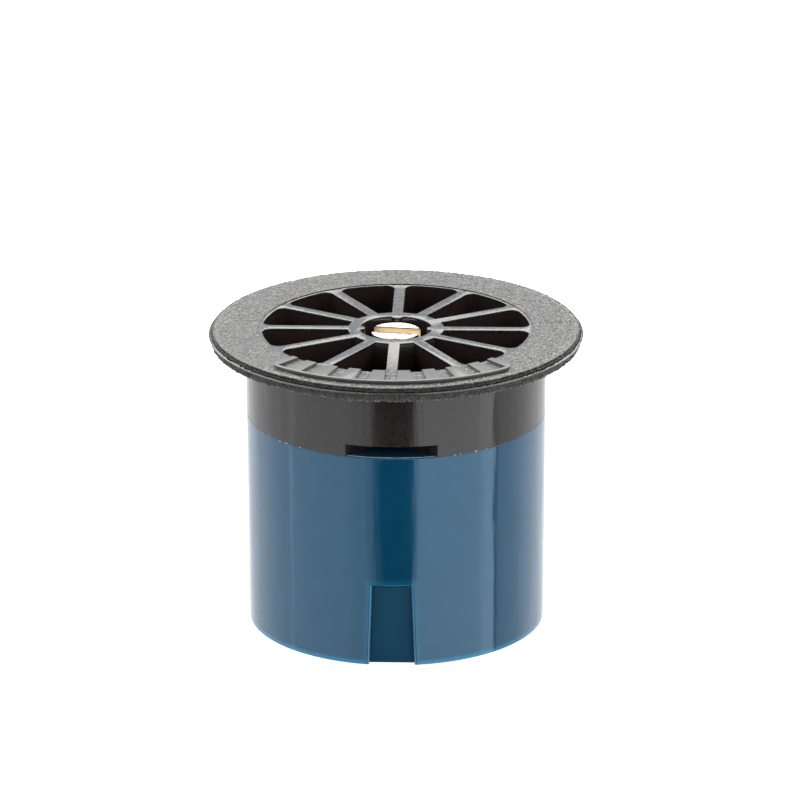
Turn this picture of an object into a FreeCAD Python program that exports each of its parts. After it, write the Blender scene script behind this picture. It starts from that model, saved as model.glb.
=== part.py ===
"""Fixed quarter-arc spray nozzle of a pop-up sprinkler, female threaded, with a radius screw.

Frame: millimetres, +Z up along the nozzle's axis, origin at the centre of the bottom rim.
The spray leaves through the window that faces -Y.
"""
import FreeCAD, Part
import math
import os
import re
import Sketcher

# name: (value, what it sets)
SIZES = {
    # threaded body
    "socket_radius": (7.9375, "root of the 5/8-28 riser thread"),
    "skirt_wall": (2.0825, "wall outside the thread root, at the foot"),
    "skirt_draft": (0.105, "how far the outside widens from foot to flange"),
    "socket_depth": (8.5, "bottom rim to the shoulder that stops the riser"),
    "socket_lead": (0.45, "chamfer at the mouth of the socket"),
    "throat_radius": (2.4, "hole through the shoulder plate"),
    "throat_plate": (0.9, "thickness of the shoulder plate"),
    "chamber_radius": (5.6, "water chamber above the shoulder plate"),
    "chamber_height": (5.3, "shoulder plate to the weld seam"),
    "key_width": (0.9, "wing of the throttle plug"),
    "key_depth": (0.35, "how far a wing enters its slot"),
    "key_clearance": (0.12, "wing to slot, each side"),
    "recess_top_width": (2.62, "finger recess in the skirt, upper edge"),
    "recess_foot_width": (3.02, "finger recess in the skirt, lower edge"),
    "recess_height": (5.65, "bottom rim to the recess's upper edge"),
    "recess_depth": (0.55, "recess below the skirt's surface, at the foot"),
    "recess_round": (0.14, "rounded edge of the recess"),
    # deflector cap
    "collar_height": (4.8, "weld seam to the flange's underside"),
    "collar_wall": (1.02, "foot's outside to the top pockets"),
    "flange_overhang": (2.58, "foot's outside to the flange's rim"),
    "flange_thickness": (0.95, "underside to textured face"),
    "rim_step": (0.16, "lower band of the rim, set back"),
    "rim_band": (0.48, "height of the lower band"),
    "rim_ridge": (0.08, "height of the ridge above that band"),
    "rim_shelf": (0.26, "textured face to the ridge, across"),
    "rim_drop": (0.18, "textured face down to the shelf"),
    "ledge_width": (0.2, "ring between the pockets and the face"),
    "ledge_drop": (0.05, "face to rib tops"),
    "rib_count": (12, "spokes between rim and hub"),
    "rib_width": (0.76, "thickness of a spoke"),
    "pocket_depth": (3.7, "rib tops to pocket floor"),
    "pocket_corner": (0.6, "rounded outer corners of a pocket"),
    "hub_wall": (0.8, "well to the flats of the hub"),
    "well_gap": (0.73, "screw head to the wall of its well"),
    "nub_count": (4, "centring nubs in the well"),
    "nub_radius": (0.39, "radius of a nub"),
    "nub_gap": (0.37, "screw head to nub"),
    "post_wall": (1.15, "wall around the screw's thread"),
    "spigot_length": (0.8, "locating ring below the seam"),
    "spigot_wall": (0.95, "thickness of the locating ring"),
    "spigot_fit": (0.05, "locating ring to chamber"),
    "plate_rise": (0.19, "arc plate above the face"),
    "plate_margin": (1.07, "arc plate to the flange's rim"),
    "plate_inset": (0.06, "ring to the plate's inner edge"),
    "plate_span": (91, "angle of the arc plate"),
    "plate_corner": (0.9, "rounded outer corners of the plate"),
    "notch_count": (9, "degree notches in the plate"),
    "notch_pitch": (10, "angle from notch to notch"),
    "notch_width": (0.76, "width of a notch"),
    "notch_land": (0.34, "notch to the plate's outer edge"),
    "window_width": (6.1, "spray window at the collar's surface"),
    "window_height": (0.84, "spray window above the seam"),
    "window_flare": (45, "side of the window to the jet's middle line"),
    # jet chip
    "chip_setback": (1.4, "foot's outside to the chip's front"),
    "chip_side": (0.38, "chip beyond the window's inner edge"),
    "chip_roof": (0.36, "chip above its channel"),
    "chip_overhang": (0.3, "chip past the edge of the chamber"),
    "chip_fit": (0.02, "chip to its seat in the cap"),
    "jet_width": (1.0, "throat of the channel"),
    "jet_length": (0.4, "length of that throat"),
    "swirl_width": (2.2, "widened part behind the throat"),
    "swirl_length": (0.9, "length of the widened part"),
    "inlet_width": (1.3, "rear mouth of the channel"),
    # radius screw
    "head_radius": (1.7, "screw head"),
    "head_height": (1.2, "screw head"),
    "head_sink": (0.17, "rib tops to the top of the head"),
    "head_round": (0.12, "rounded edge of the head"),
    "slot_width": (1.0, "driver slot"),
    "slot_depth": (0.6, "driver slot"),
    "slot_turn": (-8, "driver slot from the X axis"),
    "shank_radius": (1.25, "outside of the screw's thread"),
    "shank_clearance": (0.05, "thread to the post's bore"),
    "thread_pitch": (0.45, "travel of the screw in one turn"),
    "turns_in": (3, "turns from rest to throttled"),
    "turns_out": (0.5, "turns from rest to fully open"),
    "stop_gap": (0.15, "what is left at each end of the travel"),
    # throttle plug
    "seat_overlap": (0.5, "plug's radius beyond the throat"),
    "plug_height": (1.5, "plug without its nose"),
    "nose_gap": (0.4, "nose to the throat's wall"),
    "nose_length": (0.8, "nose below the plug"),
    "nose_tip_radius": (1.0, "end of the nose"),
    "neck_cut": (0.45, "neck below the thread's surface"),
    "neck_length": (0.5, "neck that the plug snaps over"),
    "tip_step": (0.1, "tip below the thread's surface"),
    "tip_length": (0.6, "tip held in the plug"),
    "snap_clearance": (0.06, "neck and tip to the plug"),
    "wing_height": (0.9, "wing of the plug, along the axis"),
}

# name: how it follows from the sizes above; heights are above the bottom rim
PLACES = {
    "shell_radius": "socket_radius + skirt_wall",
    "seam_radius": "shell_radius + skirt_draft * seam_level / flange_level",
    "collar_radius": "shell_radius + skirt_draft",
    "chamber_floor": "socket_depth + throat_plate",
    "seam_level": "chamber_floor + chamber_height",
    "flange_level": "seam_level + collar_height",
    "face_level": "flange_level + flange_thickness",
    "spoke_level": "face_level - ledge_drop",
    "pocket_radius": "shell_radius - collar_wall",
    "ledge_radius": "pocket_radius + ledge_width",
    "flange_radius": "shell_radius + flange_overhang",
    "plate_outer": "flange_radius - plate_margin",
    "plate_inner": "ledge_radius + plate_inset",
    "well_radius": "head_radius + well_gap",
    "hub_radius": "well_radius + hub_wall",
    "nub_place": "head_radius + nub_gap + nub_radius",
    "bore_radius": "shank_radius + shank_clearance",
    "post_radius": "bore_radius + post_wall",
    "travel_in": "turns_in * thread_pitch",
    "travel_out": "turns_out * thread_pitch",
    "head_top": "spoke_level - head_sink",
    "head_floor": "head_top - head_height",
    "well_floor": "head_floor - travel_in - stop_gap",
    "plug_floor": "chamber_floor + stop_gap + travel_in",
    "plug_top": "plug_floor + plug_height",
    "post_floor": "plug_top + travel_out + stop_gap",
    "plug_radius": "throat_radius + seat_overlap",
    "neck_radius": "shank_radius - neck_cut",
    "tip_radius": "shank_radius - tip_step",
    "neck_floor": "plug_top - neck_length",
    "tip_floor": "neck_floor - tip_length",
    "wing_radius": "chamber_radius + key_depth",
    "wing_floor": "plug_floor + (plug_height - wing_height) / 2",
    "spigot_radius": "chamber_radius - spigot_fit",
    "chip_front": "shell_radius - chip_setback",
    "chip_rear": "chamber_radius - chip_overhang",
    "window_edge": "sqrt(seam_radius ^ 2 - (window_width / 2) ^ 2)",
    "flare_slope": "tan(window_flare * 1 deg)",
    "window_inner": "window_width / 2 - (window_edge - chip_front) * flare_slope",
    "window_reach": "collar_radius + collar_wall",
    "window_outer": "window_width / 2 + (window_reach - window_edge) * flare_slope",
    "chip_half": "window_inner + chip_side",
    "chip_height": "window_height + chip_roof",
    "jet_front": "chip_front - (window_inner - jet_width / 2) / flare_slope",
    "swirl_front": "jet_front - jet_length",
    "swirl_rear": "swirl_front - swirl_length",
    "spoke_step": "360 / rib_count",
}

# how near a point has to be to count as on a surface
TOLERANCE = 1e-3

doc = FreeCAD.newDocument("spray_nozzle")
sheet = doc.addObject("Spreadsheet::Sheet", "sizes")


def formula(text):
    """Put the sheet's name before every alias in a formula."""
    names = SIZES.keys() | PLACES.keys()
    return re.sub(r"[a-z_]+", lambda word: ("sizes." if word[0] in names else "") + word[0], text)


def value(text):
    """The number that a formula gives with the sheet as it is now."""
    return float(sheet.evalExpression(formula(text)))


def fill_sheet():
    rows = [(name, str(number), note) for name, (number, note) in SIZES.items()]
    rows += [(name, "=" + text, "worked out") for name, text in PLACES.items()]
    for row, (name, content, note) in enumerate(rows, start=1):
        sheet.set(f"A{row}", name)
        sheet.set(f"B{row}", content)
        sheet.set(f"C{row}", note)
        sheet.setAlias(f"B{row}", name)
    doc.recompute()


def new_body(name):
    body = doc.addObject("PartDesign::Body", name)
    body.Label = name
    body.Placement = FreeCAD.Placement()
    return body


def origin_part(body, role):
    return next(item for item in body.Origin.OriginFeatures if item.Role == role)


def new_sketch(body, name, plane, level="0", turn="0"):
    """An empty sketch on an origin plane, lifted by level and turned about its own normal."""
    sketch = body.newObject("Sketcher::SketchObject", name)
    sketch.AttachmentSupport = [(origin_part(body, plane), "")]
    sketch.MapMode = "FlatFace"
    sketch.setExpression("AttachmentOffset.Base.z", formula(level))
    sketch.setExpression("AttachmentOffset.Rotation.Angle", formula(turn))
    return sketch


def bind_point(sketch, edge, end, place):
    """Hold one end of an edge at a place given by two formulas."""
    for kind, text in zip(("DistanceX", "DistanceY"), place):
        distance = value(text)
        if distance < 0:
            index = sketch.addConstraint(Sketcher.Constraint(kind, edge, end, -1, 1, -distance))
            sketch.setExpression(f"Constraints[{index}]", formula(f"-({text})"))
        else:
            index = sketch.addConstraint(Sketcher.Constraint(kind, -1, 1, edge, end, distance))
            sketch.setExpression(f"Constraints[{index}]", formula(text))


def arc_between(start, end, radius, turn):
    """The shorter arc from start to end; turn is 1 anticlockwise and -1 clockwise."""
    chord = end - start
    normal = FreeCAD.Vector(-chord.y, chord.x, 0).normalize()
    rise = math.sqrt(max(radius ** 2 - chord.Length ** 2 / 4, 0))
    centre = (start + end) * 0.5 + normal * rise * turn
    first, last = (start, end) if turn > 0 else (end, start)
    angles = [math.atan2(point.y - centre.y, point.x - centre.x) for point in (first, last)]
    return Part.ArcOfCircle(Part.Circle(centre, FreeCAD.Vector(0, 0, 1), radius), *angles)


def outline(sketch, corners):
    """Draw a closed outline. A corner is (x, y), or (x, y, radius, turn) where an arc leaves it."""
    places = [FreeCAD.Vector(value(corner[0]), value(corner[1]), 0) for corner in corners]
    ends = []
    for index, corner in enumerate(corners):
        start = places[index]
        end = places[(index + 1) % len(places)]
        if len(corner) == 2:
            sketch.addGeometry(Part.LineSegment(start, end), False)
            ends.append((1, 2))
        else:
            radius, turn = corner[2:]
            sketch.addGeometry(arc_between(start, end, value(radius), turn), False)
            bound = sketch.addConstraint(Sketcher.Constraint("Radius", index, value(radius)))
            sketch.setExpression(f"Constraints[{bound}]", formula(radius))
            ends.append((1, 2) if turn > 0 else (2, 1))
    for index, corner in enumerate(corners):
        after = (index + 1) % len(corners)
        join = Sketcher.Constraint("Coincident", index, ends[index][1], after, ends[after][0])
        sketch.addConstraint(join)
        bind_point(sketch, index, ends[index][0], corner[:2])
    doc.recompute()
    return sketch


def circle(sketch, place, radius):
    centre = FreeCAD.Vector(value(place[0]), value(place[1]), 0)
    sketch.addGeometry(Part.Circle(centre, FreeCAD.Vector(0, 0, 1), value(radius)), False)
    bound = sketch.addConstraint(Sketcher.Constraint("Radius", 0, value(radius)))
    sketch.setExpression(f"Constraints[{bound}]", formula(radius))
    bind_point(sketch, 0, 3, place)
    return sketch


def revolve(body, name, corners):
    """Turn a profile of (radius, height) corners about the nozzle's axis."""
    sketch = outline(new_sketch(body, name + "_profile", "XZ_Plane"), corners)
    feature = body.newObject("PartDesign::Revolution", name)
    feature.Profile = sketch
    feature.ReferenceAxis = (sketch, ["V_Axis"])
    sketch.Visibility = False
    doc.recompute()
    return feature


def pad(body, name, sketch, length):
    feature = body.newObject("PartDesign::Pad", name)
    feature.Profile = sketch
    feature.setExpression("Length", formula(length))
    sketch.Visibility = False
    doc.recompute()
    return feature


def pocket(body, name, sketch, length, upward=False):
    """Cut a sketch into the body, and make sure that it cuts something."""
    before = body.Shape.Volume
    feature = body.newObject("PartDesign::Pocket", name)
    feature.Profile = sketch
    feature.setExpression("Length", formula(length))
    feature.Reversed = upward
    sketch.Visibility = False
    doc.recompute()
    if feature.Shape.Volume >= before:
        raise ValueError(name + " cuts nothing")
    return feature


def repeat_round(body, name, feature, count, span):
    """Copies of a feature about the nozzle's axis, spread over a span that both ends share."""
    pattern = body.newObject("PartDesign::PolarPattern", name)
    pattern.Originals = [feature]
    pattern.Axis = (origin_part(body, "Z_Axis"), [""])
    pattern.setExpression("Angle", formula(span))
    pattern.setExpression("Occurrences", formula(count))
    body.Tip = pattern
    doc.recompute()
    return pattern


def upright_edges(shape, radius, low, high):
    """Names of the straight edges along Z at a radius, between two heights."""
    names = []
    for number, edge in enumerate(shape.Edges, start=1):
        first, last = edge.Vertexes[0].Point, edge.Vertexes[-1].Point
        upright = math.hypot(first.x - last.x, first.y - last.y) < TOLERANCE < abs(first.z - last.z)
        inside = min(first.z, last.z) > low - TOLERANCE and max(first.z, last.z) < high + TOLERANCE
        if upright and inside and abs(math.hypot(first.x, first.y) - radius) < TOLERANCE:
            names.append(f"Edge{number}")
    return names


def fillet(body, name, edges, radius):
    base = body.Tip
    feature = body.newObject("PartDesign::Fillet", name)
    feature.Base = (base, edges)
    feature.setExpression("Radius", formula(radius))
    doc.recompute()
    return feature


def box_corners(half, near, far):
    """A rectangle across the middle line, from near to far along -Y."""
    left, front, rear = f"-({half})", f"-({far})", f"-({near})"
    return [(left, front), (half, front), (half, rear), (left, rear)]


def build_threaded_body():
    """Skirt with the riser socket, shoulder plate, water chamber and deck."""
    body = new_body("threaded_body")
    revolve(body, "skirt", [
        ("throat_radius", "socket_depth"),
        ("socket_radius", "socket_depth"),
        ("socket_radius", "socket_lead"),
        ("socket_radius + socket_lead", "0"),
        ("shell_radius", "0"),
        ("seam_radius", "seam_level"),
        ("chamber_radius", "seam_level"),
        ("chamber_radius", "chamber_floor"),
        ("throat_radius", "chamber_floor"),
    ])
    slot = new_sketch(body, "key_slot_outline", "XY_Plane", "seam_level", "90")
    slot_end = "wing_radius + key_clearance"
    outline(slot, box_corners("key_width / 2 + key_clearance", "chamber_radius - key_depth", slot_end))
    key_slot = pocket(body, "key_slot", slot, "seam_level - plug_floor + travel_in")
    repeat_round(body, "key_slots", key_slot, "2", "360")
    recess = new_sketch(body, "recess_outline", "XZ_Plane", "shell_radius - recess_depth")
    outline(recess, [
        ("-recess_foot_width / 2", "0"),
        ("recess_foot_width / 2", "0"),
        ("recess_top_width / 2", "recess_height"),
        ("-recess_top_width / 2", "recess_height"),
    ])
    pocket(body, "recess", recess, "2 * recess_depth", upward=True)
    fillet(body, "recess_edges", recess_rims(body.Tip.Shape), "recess_round")
    return body


def recess_rims(shape):
    """Names of the edges where the recess's sides and top meet the skirt's surface."""
    names = []
    foot = value("shell_radius")
    slope = value("skirt_draft / flange_level")
    for number, edge in enumerate(shape.Edges, start=1):
        points = edge.discretize(3)
        offsets = [math.hypot(point.x, point.y) - foot - slope * point.z for point in points]
        on_skirt = max(abs(offset) for offset in offsets) < TOLERANCE
        middle = points[1]
        beside = abs(middle.x) < value("recess_foot_width") and middle.y < 0
        if on_skirt and beside and TOLERANCE < middle.z < value("recess_height") + TOLERANCE:
            names.append(f"Edge{number}")
    return names


def build_deflector_cap():
    """Black cap: collar with the spray window, flange, spokes, hub, screw post and arc plate."""
    body = new_body("deflector_cap")
    revolve(body, "cap", [
        ("bore_radius", "post_floor"),
        ("post_radius", "post_floor"),
        ("post_radius", "seam_level"),
        ("spigot_radius - spigot_wall", "seam_level"),
        ("spigot_radius - spigot_wall", "seam_level - spigot_length"),
        ("spigot_radius", "seam_level - spigot_length"),
        ("spigot_radius", "seam_level"),
        ("seam_radius", "seam_level"),
        ("collar_radius", "flange_level"),
        ("flange_radius - rim_step", "flange_level"),
        ("flange_radius - rim_step", "flange_level + rim_band"),
        ("flange_radius", "flange_level + rim_band"),
        ("flange_radius", "flange_level + rim_band + rim_ridge"),
        ("flange_radius - rim_shelf", "face_level - rim_drop"),
        ("flange_radius - rim_shelf", "face_level"),
        ("ledge_radius", "face_level"),
        ("ledge_radius", "spoke_level"),
        ("well_radius", "spoke_level"),
        ("well_radius", "well_floor"),
        ("bore_radius", "well_floor"),
    ])
    cut_top_pockets(body)
    nub = new_sketch(body, "nub_outline", "XY_Plane", "well_floor")
    circle(nub, ("0", "-nub_place"), "nub_radius")
    first_nub = pad(body, "nub", nub, "spoke_level - well_floor")
    repeat_round(body, "nubs", first_nub, "nub_count", "360")
    add_arc_plate(body)
    cut_window(body)
    return body


def cut_top_pockets(body):
    """The deep pockets that leave the spokes standing between hub and rim."""
    sketch = new_sketch(body, "pocket_outline", "XY_Plane", "spoke_level", "spoke_step / 2 - 90")
    inner = "(hub_radius * tan(spoke_step / 2 * 1 deg) - rib_width / 2 / cos(spoke_step / 2 * 1 deg))"
    turned = "(spoke_step / 2 * 1 deg - asin(rib_width / 2 / pocket_radius))"
    outer_x = f"pocket_radius * cos{turned}"
    outer_y = f"pocket_radius * sin{turned}"
    outline(sketch, [
        ("hub_radius", "-" + inner),
        (outer_x, "-" + outer_y, "pocket_radius", 1),
        (outer_x, outer_y),
        ("hub_radius", inner),
    ])
    first = pocket(body, "top_pocket", sketch, "pocket_depth")
    repeat_round(body, "top_pockets", first, "rib_count", "360")
    floor = value("spoke_level - pocket_depth")
    edges = upright_edges(body.Tip.Shape, value("pocket_radius"), floor, value("spoke_level"))
    fillet(body, "pocket_corners", edges, "pocket_corner")


def add_arc_plate(body):
    """Raised plate over the wetted arc, with a notch for each step of angle."""
    sketch = new_sketch(body, "plate_outline", "XY_Plane", "face_level")
    across = "sin(plate_span / 2 * 1 deg)"
    along = "cos(plate_span / 2 * 1 deg)"
    outline(sketch, [
        (f"-plate_outer * {across}", f"-plate_outer * {along}", "plate_outer", 1),
        (f"plate_outer * {across}", f"-plate_outer * {along}"),
        (f"plate_inner * {across}", f"-plate_inner * {along}", "plate_inner", -1),
        (f"-plate_inner * {across}", f"-plate_inner * {along}"),
    ])
    plate = pad(body, "arc_plate", sketch, "plate_rise")
    face = value("face_level")
    edges = upright_edges(plate.Shape, value("plate_outer"), face, face + value("plate_rise"))
    fillet(body, "plate_corners", edges, "plate_corner")
    first_notch = "-(notch_count - 1) / 2 * notch_pitch"
    notch = new_sketch(body, "notch_outline", "XY_Plane", "face_level + plate_rise", first_notch)
    outline(notch, box_corners("notch_width / 2", "plate_inner - notch_land", "plate_outer - notch_land"))
    first = pocket(body, "notch", notch, "plate_rise")
    repeat_round(body, "notches", first, "notch_count", "(notch_count - 1) * notch_pitch")


def cut_window(body):
    """The flared spray window in the collar, and the seat of the jet chip behind it."""
    window = new_sketch(body, "window_outline", "XY_Plane", "seam_level")
    outline(window, [
        ("-window_outer", "-window_reach"),
        ("window_outer", "-window_reach"),
        ("window_inner", "-chip_front"),
        ("-window_inner", "-chip_front"),
    ])
    pocket(body, "window", window, "window_height", upward=True)
    seat = new_sketch(body, "chip_seat_outline", "XY_Plane", "seam_level - spigot_length")
    seat_rear = "spigot_radius - spigot_wall - spigot_fit"
    outline(seat, box_corners("chip_half + chip_fit", seat_rear, "chip_front"))
    pocket(body, "chip_seat", seat, "spigot_length + chip_height + chip_fit", upward=True)


def build_jet_chip():
    """Moulded insert whose channel, closed by the deck below it, shapes the jet."""
    body = new_body("jet_chip")
    block = new_sketch(body, "block_outline", "XY_Plane", "seam_level")
    outline(block, box_corners("chip_half", "chip_rear", "chip_front"))
    pad(body, "block", block, "chip_height")
    sketch = new_sketch(body, "channel_outline", "XY_Plane", "seam_level")
    right = [
        ("window_inner", "-chip_front"),
        ("jet_width / 2", "-jet_front"),
        ("jet_width / 2", "-swirl_front"),
        ("swirl_width / 2", "-swirl_front"),
        ("swirl_width / 2", "-swirl_rear"),
        ("inlet_width / 2", "-swirl_rear"),
        ("inlet_width / 2", "-chip_rear"),
    ]
    left = [(f"-({across})", along) for across, along in reversed(right)]
    outline(sketch, right + left)
    pocket(body, "channel", sketch, "window_height", upward=True)
    return body


def build_radius_screw():
    """Stainless slotted screw with a snap tip at its lower end."""
    body = new_body("radius_screw")
    revolve(body, "screw", [
        ("0", "tip_floor"),
        ("tip_radius", "tip_floor"),
        ("tip_radius", "neck_floor"),
        ("neck_radius", "neck_floor"),
        ("neck_radius", "plug_top + snap_clearance"),
        ("shank_radius", "plug_top + snap_clearance"),
        ("shank_radius", "head_floor"),
        ("head_radius", "head_floor"),
        ("head_radius", "head_top - head_round", "head_round", 1),
        ("head_radius - head_round", "head_top"),
        ("0", "head_top"),
    ])
    slot = new_sketch(body, "slot_outline", "XY_Plane", "head_top", "slot_turn + 90")
    outline(slot, box_corners("slot_width / 2", "-2 * head_radius", "2 * head_radius"))
    pocket(body, "slot", slot, "slot_depth")
    return body


def build_throttle_plug():
    """Plug that rides on the screw's tip, kept from turning by two wings."""
    body = new_body("throttle_plug")
    revolve(body, "plug", [
        ("neck_radius + snap_clearance", "plug_top"),
        ("neck_radius + snap_clearance", "neck_floor + snap_clearance"),
        ("tip_radius + snap_clearance", "neck_floor + snap_clearance"),
        ("tip_radius + snap_clearance", "tip_floor - snap_clearance"),
        ("0", "tip_floor - snap_clearance"),
        ("0", "plug_floor - nose_length"),
        ("nose_tip_radius", "plug_floor - nose_length"),
        ("throat_radius - nose_gap", "plug_floor"),
        ("plug_radius", "plug_floor"),
        ("plug_radius", "plug_top"),
    ])
    sketch = new_sketch(body, "wing_outline", "XY_Plane", "wing_floor", "90")
    outline(sketch, box_corners("key_width / 2", "plug_radius - seat_overlap", "wing_radius"))
    wing = pad(body, "wing", sketch, "wing_height")
    repeat_round(body, "wings", wing, "2", "360")
    return body


def check(bodies):
    """Stop if anything in the document failed, or a sub-part isn't one valid solid."""
    for item in doc.Objects:
        if "Invalid" in item.State or "Error" in item.State:
            raise ValueError(f"{item.Name} failed: {item.State}")
    for body in bodies:
        if body.Shape.isNull() or not body.Shape.isValid() or len(body.Shape.Solids) != 1:
            raise ValueError(body.Label + " isn't one valid solid")


def main():
    fill_sheet()
    bodies = [
        build_threaded_body(),
        build_deflector_cap(),
        build_jet_chip(),
        build_radius_screw(),
        build_throttle_plug(),
    ]
    doc.recompute()
    check(bodies)
    os.makedirs("parts", exist_ok=True)
    for body in bodies:
        body.Shape.exportStep(f"parts/{body.Label}.step")
        box = body.Shape.BoundBox
        print(f"{body.Label}: volume {body.Shape.Volume:.2f}, z {box.ZMin:.3f} to {box.ZMax:.3f}")


main()
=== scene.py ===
"""Looks of the spray nozzle: finishes, grained flange, riser thread, weld burr, studio and camera."""
import math
import bmesh
import bpy
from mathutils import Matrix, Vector, noise


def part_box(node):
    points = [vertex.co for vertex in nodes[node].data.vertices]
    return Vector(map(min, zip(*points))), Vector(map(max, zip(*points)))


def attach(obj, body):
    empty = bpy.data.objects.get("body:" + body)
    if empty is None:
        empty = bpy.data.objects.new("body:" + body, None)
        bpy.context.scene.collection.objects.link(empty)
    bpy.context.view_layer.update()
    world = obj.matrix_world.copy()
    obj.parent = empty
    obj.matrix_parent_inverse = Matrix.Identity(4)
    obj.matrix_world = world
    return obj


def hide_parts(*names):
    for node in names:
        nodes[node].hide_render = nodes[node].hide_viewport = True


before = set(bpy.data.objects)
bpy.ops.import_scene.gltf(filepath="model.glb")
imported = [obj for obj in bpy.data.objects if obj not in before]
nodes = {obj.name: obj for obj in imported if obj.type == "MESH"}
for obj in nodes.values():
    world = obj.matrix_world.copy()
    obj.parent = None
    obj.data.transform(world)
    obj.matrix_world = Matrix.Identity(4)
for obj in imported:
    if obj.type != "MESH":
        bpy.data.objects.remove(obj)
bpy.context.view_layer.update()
MM = 0.001

# Levels and radii in millimetres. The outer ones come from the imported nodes' boxes, and the others
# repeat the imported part's own sizes.
cap_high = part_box("deflector_cap")[1]
skirt_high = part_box("threaded_body")[1]
PLATE_RISE = 0.19
FLANGE_THICKNESS = 0.95
SPOKE_SINK = 0.05
PLATE_TOP = cap_high[2] / MM
FACE = PLATE_TOP - PLATE_RISE
FLANGE_FLOOR = FACE - FLANGE_THICKNESS
FLANGE_RADIUS = cap_high[0] / MM
SKIRT_RADIUS = skirt_high[0] / MM
SEAM = skirt_high[2] / MM
WHEEL_RADIUS = 9.2
SPOKE_TOP = FACE - SPOKE_SINK
SOCKET_RADIUS = 7.9375
SOCKET_DEPTH = 8.5
THREAD_PITCH = 25.4 / 28
SCREW_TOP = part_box("radius_screw")[1][2] / MM
SCREW_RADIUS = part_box("radius_screw")[1][0] / MM
SLOT_TURN = math.radians(-8)
SLOT_HALF = 0.5
RECESS_FLOOR = 9.47
RECESS_TOP = 5.65
RECESS_FOOT_HALF = 1.51
RECESS_TOP_HALF = 1.31

# the flange's edge: a shelf below the face, a round bead, and the band under it, worn with chips and with
# painted glints at its foot
SHELF_RADIUS = FLANGE_RADIUS - 0.26
BAND_RADIUS = FLANGE_RADIUS - 0.16
BEAD = 0.05
BEAD_TOP = FLANGE_FLOOR + 0.64
BEAD_MIDDLE = BEAD_TOP - BEAD
BEAD_FOOT = BEAD_TOP - 2 * BEAD
FOOT_ROUND = 0.08

# steps of the displaced meshes: along the face in millimetres, and around the axis
FACE_STEP = 0.055
SKIN_STEPS = 1260
BURR_STEPS = 1440
THREAD_STEPS = 120

# rounded top edges of the moulding: level and radius
EDGE_ROUNDS = ((PLATE_TOP, 0.07), (SPOKE_TOP, 0.08))

# depth of each bump in millimetres
LEATHER_BUMP = 0.1
COARSE_BUMP = 0.34
DRAW_BUMP = 0.03
SPOKE_BUMP = 0.022
NOTCH_BUMP = 0.12
SKIRT_BUMP = 0.05
STEEL_BUMP = 0.008
INNER_BUMP = 0.01

# colours, linear
CREASE_SHADE = (0.010, 0.010, 0.010, 1)
GRAIN_TOP = (0.045, 0.044, 0.043, 1)
GRAIN_WORN = (0.066, 0.064, 0.062, 1)
RIM_BLACK = (0.012, 0.012, 0.012, 1)
RIM_CHIP = (0.055, 0.053, 0.052, 1)
RIM_GLINT = (0.19, 0.185, 0.18, 1)
FACE_LIP_HIGHLIGHT = (0.11, 0.108, 0.105, 1)
SHELF_SHADE = (0.011, 0.011, 0.011, 1)
MOULD_DARK = (0.012, 0.0105, 0.0105, 1)
MOULD_LIGHT = (0.017, 0.0155, 0.015, 1)
SPOKE_PALE = (0.05, 0.05, 0.052, 1)
PLATE_GREY = (0.055, 0.054, 0.053, 1)
POCKET_PAINTED_LIGHT = (0.026, 0.016, 0.014, 1)
BLUE_DARK = (0.0010, 0.040, 0.086, 1)
BLUE_LIGHT = (0.0018, 0.045, 0.096, 1)
BLUE_FOOT_GLOW = (0.004, 0.19, 0.36, 1)
BLUE_GLOW = (0.008, 0.125, 0.23, 1)
BLUE_BORDER_HIGHLIGHT = (0.02, 0.15, 0.27, 1)
BLUE_RECESS = (0.003, 0.048, 0.092, 1)
TAN_DARK = (0.76, 0.66, 0.50, 1)
TAN_LIGHT = (0.86, 0.78, 0.63, 1)
STEEL = (0.86, 0.85, 0.83, 1)
STEEL_DARK_PATCH = (0.03, 0.03, 0.032, 1)
STEEL_WORN = (0.08, 0.05, 0.02, 1)
BURR_AND_GLINT_TONES = ((0.30, 0.36, 0.40), (0.62, 0.66, 0.68))
CHIP_TONES = ((0.009, 0.008, 0.008), (0.014, 0.013, 0.012))
ACETAL_TONES = ((0.74, 0.73, 0.69), (0.82, 0.81, 0.77))
WARM_WHITE = (1, 0.985, 0.97)
COOL_WHITE = (0.86, 0.93, 1)


# --- meshes -------------------------------------------------------------------------------------
def add_piece(name, points, faces, smooth=True):
    """A mesh piece from points in millimetres, riding on the root body."""
    mesh = bpy.data.meshes.new(name)
    mesh.from_pydata([[value * MM for value in point] for point in points], [], faces)
    mesh.validate()
    mesh.polygons.foreach_set("use_smooth", [smooth] * len(mesh.polygons))
    piece = bpy.data.objects.new(name, mesh)
    bpy.context.scene.collection.objects.link(piece)
    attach(piece, "root")
    return piece


def strip_faces(rows, columns):
    """Quads over a grid of points that runs row by row and closes on itself along each row."""
    faces = []
    for row in range(rows - 1):
        for column in range(columns):
            after = (column + 1) % columns
            first, second = row * columns, (row + 1) * columns
            faces.append((first + column, second + column, second + after, first + after))
    return faces


def ramp(value, low, high):
    """0 below low, 1 above high, eased between."""
    share = min(max((value - low) / (high - low), 0.0), 1.0)
    return share * share * (3 - 2 * share)


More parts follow.
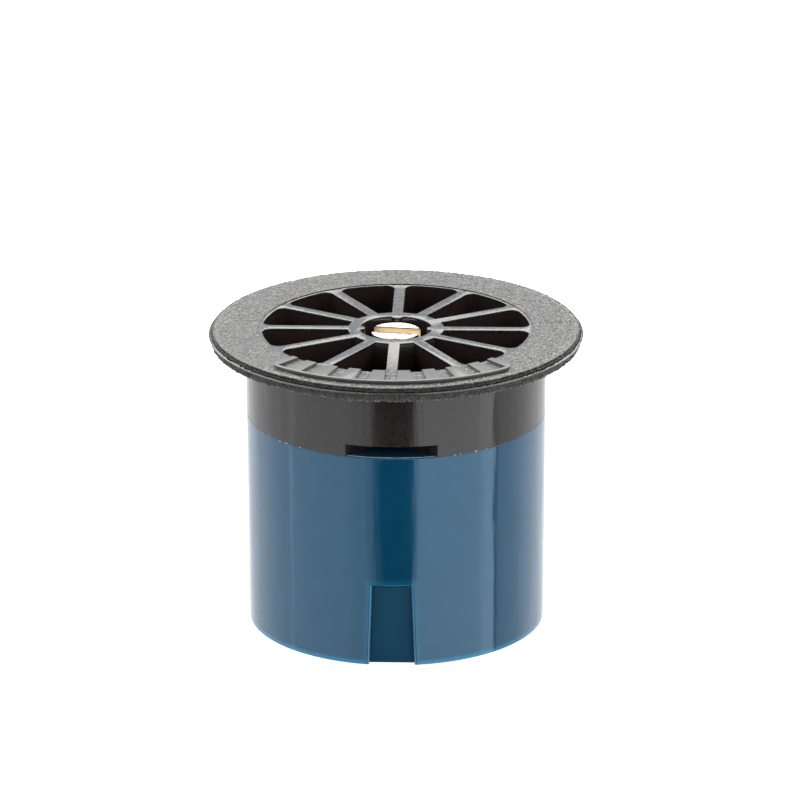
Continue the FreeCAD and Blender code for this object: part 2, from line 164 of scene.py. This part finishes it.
def flange_profile():
    """Section of the flange, as (radius, height, normal radius, normal height, coarseness)."""
    rows = [(WHEEL_RADIUS, SPOKE_TOP - 0.02, 0.0, 0.0, 0.0), (WHEEL_RADIUS, FACE - 0.015, 0.0, 0.0, 0.0)]
    inner, outer = WHEEL_RADIUS + 0.02, SHELF_RADIUS - 0.03
    count = round((outer - inner) / FACE_STEP)
    for index in range(count + 1):
        radius = inner + (outer - inner) * index / count
        rows.append((radius, FACE, 0.0, 1.0, 0.0))
    rows += [(SHELF_RADIUS, FACE - 0.02, 0.7, 0.5, 0.4), (SHELF_RADIUS + 0.01, FACE - 0.06, 1.0, 0.1, 0.9),
             (SHELF_RADIUS, FACE - 0.11, 1.0, 0.0, 1.0), (SHELF_RADIUS, FACE - 0.16, 1.0, 0.2, 0.8)]
    shelf = (SHELF_RADIUS + 0.02, FACE - 0.18)
    groove = (FLANGE_RADIUS - 2 * BEAD - 0.01, BEAD_TOP - 0.06)
    for index in range(4):
        share = (index + 0.5) / 4
        rows.append((shelf[0] + (groove[0] - shelf[0]) * share, shelf[1] + (groove[1] - shelf[1]) * share,
                     0.6, 0.8, 0.5 - 0.5 * share))
    rows.append((*groove, 0.0, 0.0, 0.0))
    for step in range(8):
        turn = math.radians(165 - 30 * step)
        rows.append((FLANGE_RADIUS - BEAD + BEAD * math.cos(turn), BEAD_MIDDLE + BEAD * math.sin(turn),
                     0.0, 0.0, 0.0))
    rows.append((BAND_RADIUS, BEAD_FOOT - 0.03, 0.8, -0.6, 0.6))
    top, foot = BEAD_FOOT - 0.07, FLANGE_FLOOR + FOOT_ROUND
    for index in range(7):
        rows.append((BAND_RADIUS, top + (foot - top) * index / 6, 1.0, 0.0, 1.0))
    for step in (1, 2, 3):
        turn = step * math.pi / 6
        rows.append((BAND_RADIUS - FOOT_ROUND * (1 - math.cos(turn)),
                     FLANGE_FLOOR + FOOT_ROUND * (1 - math.sin(turn)),
                     math.cos(turn), -math.sin(turn), 1.0 - 0.1 * step))
    outer, inner = BAND_RADIUS - 0.12, SKIRT_RADIUS - 0.05
    for index in range(16):
        radius = outer + (inner - outer) * index / 15
        rows.append((radius, FLANGE_FLOOR, 0.0, -1.0, ramp(radius, SKIRT_RADIUS + 0.4, BAND_RADIUS - 0.5)))
    return rows


def relief(place, rough, share):
    """Height of the moulded grain in millimetres: leather on the face, coarse on the rim."""
    warp, cells_per_mm, crease_width, leather_depth = 0.35, 2.9, 0.24, 0.034
    slow = place * 1.7
    bent = place + Vector((noise.noise(slow), noise.noise(slow + Vector((9, 9, 9))), 0.0)) * warp
    near, second = noise.voronoi(bent * cells_per_mm)[0][:2]
    crease = ramp(second - near, 0.0, crease_width)
    soft = noise.noise(place * 1.1) * 0.010 + noise.noise(place * 4.3) * 0.012
    leather = soft + leather_depth * (crease - 1.0)
    coarse = noise.noise(place * 2.3) * 0.03 + noise.noise(place * 5.3) * 0.07 + 0.05 * (crease - 0.8)
    return leather * share * (1 - rough) + coarse * rough


def add_flange_skin():
    """The grained ring: face, rim and underside of the flange, displaced for its relief."""
    rows = flange_profile()
    points = []
    for radius, height, out, up, rough in rows:
        if up > 0.5:
            share = ramp(radius, WHEEL_RADIUS + 0.02, WHEEL_RADIUS + 0.35)
        else:
            share = 1.0 if out > 0 else 0.5
        for index in range(SKIN_STEPS):
            angle = 2 * math.pi * index / SKIN_STEPS
            place = Vector((radius * math.cos(angle), radius * math.sin(angle), height))
            lift = relief(place, rough, share) if out or up else 0.0
            if height == FLANGE_FLOOR:
                lift = min(lift, 0.0) * ramp(radius, SKIRT_RADIUS, SKIRT_RADIUS + 0.3)
            reach = min(radius + (lift - 0.03 * rough) * out, FLANGE_RADIUS)
            points.append((reach * math.cos(angle), reach * math.sin(angle), height + lift * up))
    return add_piece("flange_skin", points, strip_faces(len(rows), SKIN_STEPS))


def round_top_edges(shape):
    """Round the edges where the plate's and the wheel's flat tops meet their upright walls."""
    near, upright, level_face = 0.002, 0.1, 0.9
    bmesh.ops.dissolve_limit(shape, angle_limit=math.radians(0.5), verts=shape.verts, edges=shape.edges)
    for level, radius in EDGE_ROUNDS:
        rims = []
        for edge in shape.edges:
            flat = all(abs(vert.co.z / MM - level) < near for vert in edge.verts)
            inside = all(math.hypot(vert.co.x, vert.co.y) / MM < WHEEL_RADIUS - 0.05 or level == PLATE_TOP
                         for vert in edge.verts)
            if flat and inside and len(edge.link_faces) == 2:
                slopes = sorted(abs(face.normal.z) for face in edge.link_faces)
                if slopes[0] < upright and slopes[1] > level_face:
                    rims.append(edge)
        bmesh.ops.bevel(shape, geom=rims, offset=radius * MM, segments=3, profile=0.5, affect="EDGES",
                        clamp_overlap=True)


def add_cap_moulding():
    """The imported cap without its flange's skin, which flange_skin covers."""
    mesh = nodes["deflector_cap"].data.copy()
    mesh.name = "cap_moulding"
    shape = bmesh.new()
    shape.from_mesh(mesh)
    bmesh.ops.remove_doubles(shape, verts=shape.verts, dist=0.001 * MM)
    near = 0.003
    covered = []
    for face in shape.faces:
        radii = [math.hypot(vert.co.x, vert.co.y) / MM for vert in face.verts]
        levels = [vert.co.z / MM for vert in face.verts]
        top = min(radii) > WHEEL_RADIUS - near and all(abs(level - FACE) < near for level in levels)
        under = min(radii) > SKIRT_RADIUS - near and all(abs(level - FLANGE_FLOOR) < near for level in levels)
        if top or under or min(radii) > FLANGE_RADIUS - 0.3:
            covered.append(face)
    bmesh.ops.delete(shape, geom=covered, context="FACES")
    round_top_edges(shape)
    shape.to_mesh(mesh)
    shape.free()
    if "custom_normal" in mesh.attributes:
        mesh.attributes.remove(mesh.attributes["custom_normal"])
    mesh.polygons.foreach_set("use_smooth", [True] * len(mesh.polygons))
    mesh.set_sharp_from_angle(angle=math.radians(32))
    piece = bpy.data.objects.new("cap_moulding", mesh)
    bpy.context.scene.collection.objects.link(piece)
    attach(piece, "root")
    return piece


def add_riser_thread():
    """Ridge of the 5/8-28 riser thread, wound up the socket's wall."""
    root, crest = SOCKET_RADIUS + 0.03, SOCKET_RADIUS - 0.46
    half_root, half_crest = 0.40 * THREAD_PITCH, 0.07 * THREAD_PITCH
    start, end = 1.0, SOCKET_DEPTH - 0.75
    steps = round((end - start) / THREAD_PITCH * THREAD_STEPS)
    points = []
    for index in range(steps + 1):
        angle = 2 * math.pi * index / THREAD_STEPS
        fade = ramp(index, 0, THREAD_STEPS / 4) * ramp(steps - index, 0, THREAD_STEPS / 4)
        middle = start + THREAD_PITCH * index / THREAD_STEPS
        tip = root + (crest - root) * fade
        for radius, height in ((root, middle - half_root), (tip, middle - half_crest),
                               (tip, middle + half_crest), (root, middle + half_root)):
            points.append((radius * math.cos(angle), radius * math.sin(angle), height))
    faces = [tuple(reversed(face)) for face in strip_faces(steps + 1, 4)]
    last = 4 * steps
    faces += [(3, 2, 1, 0), (last, last + 1, last + 2, last + 3)]
    return add_piece("riser_thread", points, faces, smooth=False)


def add_weld_flash():
    """Burr that the spin weld squeezed out between skirt and collar, away from the window."""
    fullness = (-0.02, 0.7, 1.0, 0.7, -0.02)
    clear, first_burr, full_burr = 0.34, 0.38, 0.5
    points = []
    for row, bulge in enumerate(fullness):
        for index in range(BURR_STEPS):
            angle = 2 * math.pi * index / BURR_STEPS
            place = Vector((SKIRT_RADIUS * math.cos(angle), SKIRT_RADIUS * math.sin(angle), 3.0))
            flecks = max(0.0, noise.noise(place * 5.5) + 0.35 * noise.noise(place * 14.0) - 0.27)
            patches = ramp(noise.noise(place * 0.55), -0.25, 0.2)
            from_window = abs(math.atan2(place.x, -place.y))
            swell = 0.13 * flecks * patches * ramp(from_window, first_burr, full_burr)
            sunk = 0.15 * (1 - ramp(from_window, clear, first_burr))
            reach = SKIRT_RADIUS - 0.012 - sunk + (swell * bulge if 0 < row < 4 else -0.02)
            rise = (0.03 + 0.5 * swell) * (row - 2) / 2
            height = SEAM + rise + 0.03 * noise.noise(place * 3.1)
            points.append((reach * math.cos(angle), reach * math.sin(angle), height))
    faces = [tuple(reversed(face)) for face in strip_faces(len(fullness), BURR_STEPS)]
    return add_piece("weld_flash", points, faces)


# --- materials ----------------------------------------------------------------------------------
def start_material(name):
    material = bpy.data.materials.new(name)
    material.use_nodes = True
    return material, material.node_tree, material.node_tree.nodes["Principled BSDF"]


def node(tree, kind, inputs=None, **settings):
    """A new node; each input is a plain value or another node's output."""
    item = tree.nodes.new(kind)
    for key, setting in settings.items():
        setattr(item, key, setting)
    for key, value in (inputs or {}).items():
        if isinstance(value, bpy.types.NodeSocket):
            tree.links.new(value, item.inputs[key])
        else:
            item.inputs[key].default_value = value
    return item


def maths(tree, operation, first, second=0.0):
    return node(tree, "ShaderNodeMath", {0: first, 1: second}, operation=operation).outputs[0]


def times(tree, first, second):
    return maths(tree, "MULTIPLY", first, second)


def plus(tree, first, second):
    return maths(tree, "ADD", first, second)


def minus(tree, first, second):
    return maths(tree, "SUBTRACT", first, second)


def absolute(tree, value):
    return maths(tree, "ABSOLUTE", value)


def zone(tree, value, low, high):
    """0 where value is under low and 1 over high; swapped limits give the reverse."""
    return node(tree, "ShaderNodeMapRange", {"Value": value, 1: low, 2: high, 3: 0.0, 4: 1.0},
                interpolation_type="SMOOTHSTEP").outputs[0]


def spread(tree, value, low, high, to_low, to_high):
    """to_low where value is low, to_high where it is high, and even steps between."""
    inputs = {"Value": value, 1: low, 2: high, 3: to_low, 4: to_high}
    return node(tree, "ShaderNodeMapRange", inputs).outputs[0]


def blend_colour(tree, share, first, second):
    return node(tree, "ShaderNodeMix", {0: share, 6: first, 7: second}, data_type="RGBA").outputs[2]


def blend_value(tree, share, first, second):
    return node(tree, "ShaderNodeMix", {0: share, 2: first, 3: second}, data_type="FLOAT").outputs[0]


def millimetres(tree):
    """Object coordinates in millimetres, with the radius and height read from them."""
    place = node(tree, "ShaderNodeTexCoord").outputs["Object"]
    scaled = node(tree, "ShaderNodeVectorMath", {0: place, "Scale": 1000.0}, operation="SCALE").outputs[0]
    axes = node(tree, "ShaderNodeSeparateXYZ", {0: scaled}).outputs
    flat = node(tree, "ShaderNodeVectorMath", {0: scaled, 1: (1, 1, 0)}, operation="MULTIPLY").outputs[0]
    radius = node(tree, "ShaderNodeVectorMath", {0: flat}, operation="LENGTH").outputs["Value"]
    return scaled, axes, radius


def grain(tree, place, scale, detail=3.0, stretch=(1, 1, 1), distortion=0.0):
    moved = node(tree, "ShaderNodeVectorMath", {0: place, 1: stretch}, operation="MULTIPLY").outputs[0]
    return node(tree, "ShaderNodeTexNoise", {"Vector": moved, "Scale": scale, "Detail": detail,
                                             "Distortion": distortion}).outputs["Fac"]


def cell_edges(tree, place, scale, width):
    """0 along the edges of random cells, and 1 beyond width."""
    cells = node(tree, "ShaderNodeTexVoronoi", {"Vector": place, "Scale": scale}, feature="DISTANCE_TO_EDGE")
    return zone(tree, cells.outputs[0], 0.0, width)


def bump(tree, height, depth, normal=None):
    """Bump whose height of 1 stands depth millimetres proud."""
    inputs = {"Height": height, "Distance": depth * MM, "Strength": 1.0}
    if normal is not None:
        inputs["Normal"] = normal
    return node(tree, "ShaderNodeBump", inputs).outputs[0]


def soft_edges(tree, radius):
    """Normals that round sharp edges, as a moulding's are."""
    return node(tree, "ShaderNodeBevel", {"Radius": radius * MM}, samples=6).outputs[0]


def set_inputs(shader, **values):
    for key, value in values.items():
        shader.inputs[key.replace("_", " ")].default_value = value


def flange_material():
    """Black moulding with leather grain on the face and a coarse rim with worn chips, with painted shade in
    the creases and on the drop under the face, and painted highlights on the face's outer lip and along the
    band's foot.
    """
    material, tree, shader = start_material("flange_grain")
    place, axes, radius = millimetres(tree)
    warp = node(tree, "ShaderNodeTexNoise", {"Vector": place, "Scale": 1.6, "Detail": 2.0}).outputs["Color"]
    shift = node(tree, "ShaderNodeVectorMath", {0: warp, "Scale": 0.7}, operation="SCALE").outputs[0]
    bent = node(tree, "ShaderNodeVectorMath", {0: place, 1: shift}, operation="ADD").outputs[0]
    wrinkle = cell_edges(tree, bent, 2.2, 0.11)
    small_wrinkle = cell_edges(tree, bent, 4.6, 0.16)
    fine = grain(tree, place, 9.0, 4.0)
    rim = zone(tree, radius, FLANGE_RADIUS - 0.4, FLANGE_RADIUS - 0.3)
    level = axes[2]
    from_bead = absolute(tree, minus(tree, level, BEAD_MIDDLE))
    off_bead = zone(tree, from_bead, BEAD, 2 * BEAD)
    rim = times(tree, rim, off_bead)
    drop = times(tree, rim, zone(tree, level, BEAD_TOP - 0.02, BEAD_TOP + 0.03))
    drop = times(tree, drop, zone(tree, level, FACE - 0.04, FACE - 0.1))
    band = times(tree, rim, zone(tree, level, BEAD_FOOT + 0.03, BEAD_FOOT - 0.02))
    height = plus(tree, times(tree, wrinkle, 0.5), times(tree, small_wrinkle, 0.3))
    height = plus(tree, height, times(tree, fine, 0.6))
    leather = bump(tree, times(tree, height, off_bead), LEATHER_BUMP)
    coarse = grain(tree, place, 3.6, 5.0, distortion=0.4)
    normal = bump(tree, times(tree, coarse, rim), COARSE_BUMP, leather)
    tree.links.new(normal, shader.inputs["Normal"])
    patches = grain(tree, place, 0.8, 2.0)
    # painted shade: the grain's creases are darkened in colour
    dark = blend_colour(tree, wrinkle, CREASE_SHADE, GRAIN_TOP)
    tone_and_painted_light = blend_colour(tree, zone(tree, fine, 0.5, 0.75), dark, GRAIN_WORN)
    tone_and_painted_light = blend_colour(tree, rim, tone_and_painted_light, RIM_BLACK)
    chips = times(tree, band, zone(tree, coarse, 0.54, 0.66))
    tone_and_painted_light = blend_colour(tree, chips, tone_and_painted_light, RIM_CHIP)
    # painted highlight: pale glint specks along the band's lower edge
    foot_edge = times(tree, band, zone(tree, level, FLANGE_FLOOR + 0.16, FLANGE_FLOOR + 0.05))
    spots = times(tree, foot_edge, zone(tree, fine, 0.48, 0.6))
    tone_and_painted_light = blend_colour(tree, spots, tone_and_painted_light, RIM_GLINT)
    # painted highlight: bright ragged specks along the face's outer lip
    lit_lip = times(tree, zone(tree, radius, FLANGE_RADIUS - 0.75, FLANGE_RADIUS - 0.45),
                zone(tree, level, FACE - 0.07, FACE - 0.04))
    tone_and_painted_light = blend_colour(tree, times(tree, lit_lip, zone(tree, fine, 0.3, 0.6)), tone_and_painted_light, FACE_LIP_HIGHLIGHT)
    # painted shade: the upright wall of the drop below the face is darkened in colour
    tone_and_painted_light = blend_colour(tree, drop, tone_and_painted_light, SHELF_SHADE)
    tree.links.new(tone_and_painted_light, shader.inputs["Base Color"])
    roughness = spread(tree, patches, 0.3, 0.7, 0.30, 0.38)
    roughness = blend_value(tree, rim, roughness, 0.52)
    roughness = blend_value(tree, drop, roughness, 0.6)
    roughness = blend_value(tree, off_bead, 0.15, roughness)
    tree.links.new(roughness, shader.inputs["Roughness"])
    set_inputs(shader, IOR=1.8)
    return material


def moulding_material():
    """Black moulding: satin collar with faint draw marks, mottled spokes, smooth arc plate, and a painted
    brown tint of scattered light in the pockets.
    """
    material, tree, shader = start_material("cap_satin")
    place, axes, radius = millimetres(tree)
    height_mm = axes[2]
    rounded = soft_edges(tree, 0.03)
    collar = zone(tree, radius, WHEEL_RADIUS + 0.3, WHEEL_RADIUS + 0.5)
    collar = times(tree, collar, zone(tree, height_mm, FACE - 0.2, FACE - 0.4))
    tops = zone(tree, height_mm, SPOKE_TOP - 0.12, SPOKE_TOP - 0.04)
    wheel = times(tree, tops, zone(tree, radius, WHEEL_RADIUS + 0.05, WHEEL_RADIUS))
    drawn = grain(tree, place, 1.1, 3.0, (1.0, 1.0, 0.12))
    mottle = grain(tree, place, 3.2, 4.0)
    speck = grain(tree, place, 11.0, 3.0)
    streaks = bump(tree, times(tree, drawn, collar), DRAW_BUMP, rounded)
    relief_height = plus(tree, times(tree, mottle, 0.7), times(tree, speck, 0.3))
    normal = bump(tree, times(tree, relief_height, tops), SPOKE_BUMP, streaks)
    on_ring = times(tree, tops, zone(tree, radius, WHEEL_RADIUS, WHEEL_RADIUS + 0.05))
    plate = times(tree, on_ring, zone(tree, height_mm, FACE + 0.06, FACE + 0.12))
    floors = times(tree, on_ring, zone(tree, height_mm, FACE + 0.06, FACE + 0.02))
    normal = bump(tree, times(tree, speck, floors), NOTCH_BUMP, normal)
    tree.links.new(normal, shader.inputs["Normal"])
    base = blend_colour(tree, zone(tree, mottle, 0.35, 0.7), MOULD_DARK, MOULD_LIGHT)
    tone = blend_colour(tree, times(tree, wheel, zone(tree, mottle, 0.45, 0.65)), base, SPOKE_PALE)
    tone = blend_colour(tree, on_ring, tone, PLATE_GREY)
    # painted light: a brown tint of scattered light deep in the pockets
    inside = times(tree, zone(tree, height_mm, SPOKE_TOP - 0.15, SPOKE_TOP - 0.4),
                   zone(tree, radius, WHEEL_RADIUS - 0.1, WHEEL_RADIUS - 0.2))
    tree.links.new(blend_colour(tree, inside, tone, POCKET_PAINTED_LIGHT), shader.inputs["Base Color"])
    rough_top = spread(tree, mottle, 0.35, 0.65, 0.13, 0.24)
    rough_top = blend_value(tree, plate, rough_top, 0.34)
    roughness = blend_value(tree, tops, spread(tree, speck, 0.3, 0.7, 0.12, 0.16), rough_top)
    tree.links.new(roughness, shader.inputs["Roughness"])
    return material


def recess_zones(tree, axes):
    """Distance outside the finger recess's outline in millimetres, and a mask of its floor."""
    across = absolute(tree, axes[0])
    half = spread(tree, axes[2], 0.0, RECESS_TOP, RECESS_FOOT_HALF, RECESS_TOP_HALF)
    past = maths(tree, "MAXIMUM", minus(tree, across, half), minus(tree, axes[2], RECESS_TOP))
    behind = zone(tree, axes[1], -1.0, 0.0)
    past = plus(tree, past, times(tree, behind, 9.0))
    floor = times(tree, zone(tree, axes[1], -RECESS_FLOOR - 0.12, -RECESS_FLOOR - 0.04),
                  zone(tree, axes[1], 0.3 - RECESS_FLOOR, 0.2 - RECESS_FLOOR))
    floor = times(tree, floor, zone(tree, past, 0.02, -0.02))
    return past, floor


def skirt_material():
    """Glossy blue moulding, a little translucent, with a painted glow at its thin lower edge and a painted
    glow and highlight line around the finger recess.
    """
    material, tree, shader = start_material("skirt_gloss")
    place, axes, radius = millimetres(tree)
    height_mm = axes[2]
    plain = node(tree, "ShaderNodeNewGeometry").outputs["Normal"]
    below_seam = zone(tree, height_mm, SEAM - 0.06, SEAM - 0.12)
    rounded = node(tree, "ShaderNodeMix", {0: below_seam, 4: plain, 5: soft_edges(tree, 0.025)},
                   data_type="VECTOR").outputs[1]
    drawn = grain(tree, place, 0.9, 3.0, (1.0, 1.0, 0.1))
    ripple = grain(tree, place, 0.35, 1.0, (1.0, 1.0, 0.35))
    waves = plus(tree, times(tree, drawn, 0.4), ripple)
    normal = bump(tree, waves, SKIRT_BUMP, rounded)
    tree.links.new(normal, shader.inputs["Normal"])
    cloud = grain(tree, place, 0.45, 3.0)
    body = blend_colour(tree, zone(tree, cloud, 0.3, 0.7), BLUE_DARK, BLUE_LIGHT)
    # painted glow: light through the thin lower edge, painted as a paler cyan
    edge = times(tree, zone(tree, height_mm, 0.45, 0.0),
                 zone(tree, radius, SKIRT_RADIUS - 0.9, SKIRT_RADIUS - 0.3))
    body = blend_colour(tree, edge, body, BLUE_FOOT_GLOW)
    past_recess, floor = recess_zones(tree, axes)
    # painted glow: light through the plastic, painted just outside the finger recess
    glow = times(tree, zone(tree, past_recess, 0.65, 0.0), zone(tree, past_recess, -0.06, 0.0))
    body = blend_colour(tree, times(tree, glow, 0.4), body, BLUE_GLOW)
    # painted highlight: a bright cyan line along the recess's rounded border
    border = absolute(tree, minus(tree, past_recess, 0.06))
    body = blend_colour(tree, times(tree, zone(tree, border, 0.08, 0.02), 0.65), body, BLUE_BORDER_HIGHLIGHT)
    body = blend_colour(tree, floor, body, BLUE_RECESS)
    tree.links.new(body, shader.inputs["Base Color"])
    fine = grain(tree, place, 6.0, 3.0)
    roughness = spread(tree, fine, 0.3, 0.7, 0.09, 0.13)
    roughness = blend_value(tree, floor, roughness, 0.28)
    roughness = blend_value(tree, zone(tree, height_mm, SEAM - 0.08, SEAM - 0.03), roughness, 0.5)
    tree.links.new(roughness, shader.inputs["Roughness"])
    set_inputs(shader, Subsurface_Weight=0.35, Subsurface_Radius=(0.15, 0.7, 1.0), Subsurface_Scale=0.0007,
               Specular_Tint=(0.50, 0.75, 1.0, 1), IOR=1.75)
    return material


def steel_material():
    """Turned stainless steel, tarnished in its driver slot."""
    material, tree, shader = start_material("turned_steel")
    place, axes, radius = millimetres(tree)
    spun = node(tree, "ShaderNodeCombineXYZ", {0: radius}).outputs[0]
    rings = node(tree, "ShaderNodeTexNoise", {"Vector": spun, "Scale": 22.0, "Detail": 3.0}).outputs["Fac"]
    spots = grain(tree, place, 5.0, 4.0)
    marks = plus(tree, times(tree, rings, 0.5), spots)
    tree.links.new(bump(tree, marks, STEEL_BUMP, soft_edges(tree, 0.05)), shader.inputs["Normal"])
    across = plus(tree, times(tree, axes[0], -math.sin(SLOT_TURN)), times(tree, axes[1], math.cos(SLOT_TURN)))
    worn_edge = zone(tree, absolute(tree, across), SLOT_HALF + 0.16, SLOT_HALF + 0.1)
    slot = zone(tree, axes[2], SCREW_TOP - 0.02, SCREW_TOP - 0.05)
    # darker steel in patches along one side of the slot
    near_side_patch = times(tree, zone(tree, across, -SLOT_HALF - 0.5, -SLOT_HALF - 0.2),
                   zone(tree, across, 0.0, -0.2))
    near_side_patch = times(tree, near_side_patch, zone(tree, spots, 0.42, 0.56))
    head = zone(tree, radius, SCREW_RADIUS - 0.01, SCREW_RADIUS - 0.06)
    inside = times(tree, slot, head)
    tan = blend_colour(tree, zone(tree, spots, 0.35, 0.65), TAN_DARK, TAN_LIGHT)
    steel = blend_colour(tree, near_side_patch, STEEL, STEEL_DARK_PATCH)
    steel = blend_colour(tree, worn_edge, steel, STEEL_WORN)
    tree.links.new(blend_colour(tree, inside, steel, tan), shader.inputs["Base Color"])
    tree.links.new(blend_value(tree, inside, 0.22, 0.38), shader.inputs["Roughness"])
    set_inputs(shader, Metallic=1.0)
    return material


def plain_moulding(name, low, high, roughness):
    """An inner moulding: two tones of one colour, fine grain and soft edges."""
    material, tree, shader = start_material(name)
    fine = grain(tree, millimetres(tree)[0], 4.0, 4.0)
    tree.links.new(blend_colour(tree, fine, (*low, 1), (*high, 1)), shader.inputs["Base Color"])
    uneven = spread(tree, fine, 0.3, 0.7, roughness - 0.04, roughness + 0.06)
    tree.links.new(uneven, shader.inputs["Roughness"])
    tree.links.new(bump(tree, fine, INNER_BUMP, soft_edges(tree, 0.05)), shader.inputs["Normal"])
    return material


def dress(piece, material):
    piece.data.materials.clear()
    piece.data.materials.append(material)


# --- studio -------------------------------------------------------------------------------------
# angles in degrees, lengths in millimetres unless said otherwise
CAMERA_AZIMUTH = 1.9
CAMERA_ELEVATION = 21.555
CAMERA_DISTANCE = 414.8
CAMERA_LENS = 273.0
CAMERA_ROLL = -0.12
AIM_RIGHT = 0.262
AIM_HEIGHT = 15.25

# strength of each part of the surroundings, where white is 1
COVE_LEFT, COVE_RIGHT, COVE_ABOVE = 1.75, 1.35, 0.3
DARK_ROOM = 0.02
FILL = 0.1
FLOOR_WHITE, FLOOR_GLOW = 0.95, 0.8
FLOOR_HALF_METRES = 1.5
FLOOR_DROP = 0.02

# panels around the front: name, azimuth from the camera, half angle, level
FRONT_PANELS = (
    ("left_box", -61.85, 26.85, 1.5),
    ("left_falloff", -29.5, 5.5, 1.3),
    ("left_fringe", -20.75, 3.25, 0.95),
    ("left_tail", -15.25, 2.25, 0.25),
    ("right_fringe", 15.4, 1.6, 1.2),
    ("right_box", 49.1, 32.1, 2.0),
    ("right_edge", 75.0, 6.4, 0.5),
)


def look_at(obj, target):
    direction = Vector(target) - obj.location
    obj.rotation_euler = direction.to_track_quat("-Z", "Y").to_euler()


def around(azimuth, elevation, distance, centre=(0, 0, 0)):
    """A place seen from the centre at an azimuth from -Y towards +X, and an elevation."""
    turned, raised = math.radians(azimuth), math.radians(elevation)
    flat = math.cos(raised)
    offset = Vector((math.sin(turned) * flat, -math.cos(turned) * flat, math.sin(raised)))
    return Vector(centre) + offset * distance


def add_camera():
    data = bpy.data.cameras.new("camera")
    data.lens = CAMERA_LENS
    data.sensor_width = 36
    data.clip_start = 0.01
    camera = bpy.data.objects.new("camera", data)
    bpy.context.scene.collection.objects.link(camera)
    camera.location = around(CAMERA_AZIMUTH, CAMERA_ELEVATION, CAMERA_DISTANCE * MM)
    side = math.radians(CAMERA_AZIMUTH)
    aim_right = AIM_RIGHT * MM
    look_at(camera, (aim_right * math.cos(side), aim_right * math.sin(side), AIM_HEIGHT * MM))
    camera.rotation_euler.rotate_axis("Z", math.radians(CAMERA_ROLL))
    bpy.context.scene.camera = camera


def add_panel(name, azimuth, half_angle, level, elevation=0.0, half_height=45.0, distance=0.5, aim=10.0,
              colour=(1, 1, 1)):
    """A softbox, distance metres away and facing the height aim; level is how bright it looks."""
    width = 2 * distance * math.tan(math.radians(half_angle))
    height = 2 * distance * math.tan(math.radians(half_height))
    data = bpy.data.lights.new(name, "AREA")
    data.shape = "RECTANGLE"
    data.size = width
    data.size_y = height
    data.color = colour
    data.energy = level * math.pi * width * height
    panel = bpy.data.objects.new(name, data)
    bpy.context.scene.collection.objects.link(panel)
    centre = (0, 0, aim * MM)
    panel.location = around(CAMERA_AZIMUTH + azimuth, elevation, distance, centre)
    look_at(panel, centre)
    panel.visible_camera = False


def add_world():
    """White to the camera; to the object, a pale cove behind and a dark room in front."""
    world = bpy.data.worlds.new("studio")
    bpy.context.scene.world = world
    world.use_nodes = True
    tree = world.node_tree
    tree.nodes.clear()
    direction = node(tree, "ShaderNodeTexCoord").outputs["Generated"]
    to_right, toward_back, upward = node(tree, "ShaderNodeSeparateXYZ", {0: direction}).outputs
    pale = blend_value(tree, zone(tree, to_right, 0.75, 0.97), COVE_LEFT, COVE_RIGHT)
    pale = blend_value(tree, zone(tree, upward, -0.06, 0.06), pale, COVE_ABOVE)
    cove = times(tree, zone(tree, toward_back, -0.062, -0.053), pale)
    seen = maths(tree, "MAXIMUM", cove, DARK_ROOM)
    path = node(tree, "ShaderNodeLightPath").outputs
    reflected = maths(tree, "MAXIMUM", path["Is Glossy Ray"], path["Is Transmission Ray"])
    strength = blend_value(tree, reflected, FILL, seen)
    strength = blend_value(tree, path["Is Camera Ray"], strength, 1.0)
    light = node(tree, "ShaderNodeBackground", {"Strength": strength})
    node(tree, "ShaderNodeOutputWorld", {"Surface": light.outputs[0]})


def add_floor():
    """A floor that looks white to the camera, a hair under the foot."""
    side = FLOOR_HALF_METRES
    mesh = bpy.data.meshes.new("floor")
    corners = [(-side, -side, 0), (side, -side, 0), (side, side, 0), (-side, side, 0)]
    mesh.from_pydata(corners, [], [(0, 1, 2, 3)])
    floor = bpy.data.objects.new("floor", mesh)
    bpy.context.scene.collection.objects.link(floor)
    floor.location.z = -FLOOR_DROP * MM
    floor.visible_glossy = False
    floor.visible_shadow = False
    material = bpy.data.materials.new("floor_white")
    material.use_nodes = True
    tree = material.node_tree
    tree.nodes.clear()
    colour = (FLOOR_WHITE, FLOOR_WHITE, FLOOR_WHITE, 1)
    lit = node(tree, "ShaderNodeBsdfDiffuse", {"Color": colour}).outputs[0]
    white = node(tree, "ShaderNodeEmission", {"Strength": FLOOR_GLOW}).outputs[0]
    path = node(tree, "ShaderNodeLightPath").outputs
    both = node(tree, "ShaderNodeAddShader", {0: lit, 1: white}).outputs[0]
    mix = node(tree, "ShaderNodeMixShader", {0: path["Is Camera Ray"], 1: lit, 2: both})
    node(tree, "ShaderNodeOutputMaterial", {"Surface": mix.outputs[0]})
    mesh.materials.append(material)


add_camera()
add_world()
add_floor()
for panel in FRONT_PANELS:
    add_panel(*panel)
add_panel("back_box", 180, 50, 5.2, elevation=47.3, half_height=25.2, distance=0.12, aim=FACE,
          colour=WARM_WHITE)
add_panel("back_wall", 180, 50, 0.7, elevation=10.5, half_height=11.5, distance=0.12, aim=FACE,
          colour=COOL_WHITE)

moulding = add_cap_moulding()
skin = add_flange_skin()
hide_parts("deflector_cap")
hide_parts("deflector_cap")
thread = add_riser_thread()
flash = add_weld_flash()

blue = skirt_material()
dress(moulding, moulding_material())
dress(skin, flange_material())
dress(nodes["deflector_cap"], moulding.data.materials[0])
dress(nodes["threaded_body"], blue)
dress(thread, blue)
# the burr's pale tones are partly stress-whitened plastic and partly painted glints
dress(flash, plain_moulding("weld_burr", *BURR_AND_GLINT_TONES, 0.35))
dress(nodes["jet_chip"], plain_moulding("chip_satin", *CHIP_TONES, 0.4))
dress(nodes["radius_screw"], steel_material())
dress(nodes["throttle_plug"], plain_moulding("natural_acetal", *ACETAL_TONES, 0.4))

bpy.context.scene.view_settings.view_transform = "Standard"
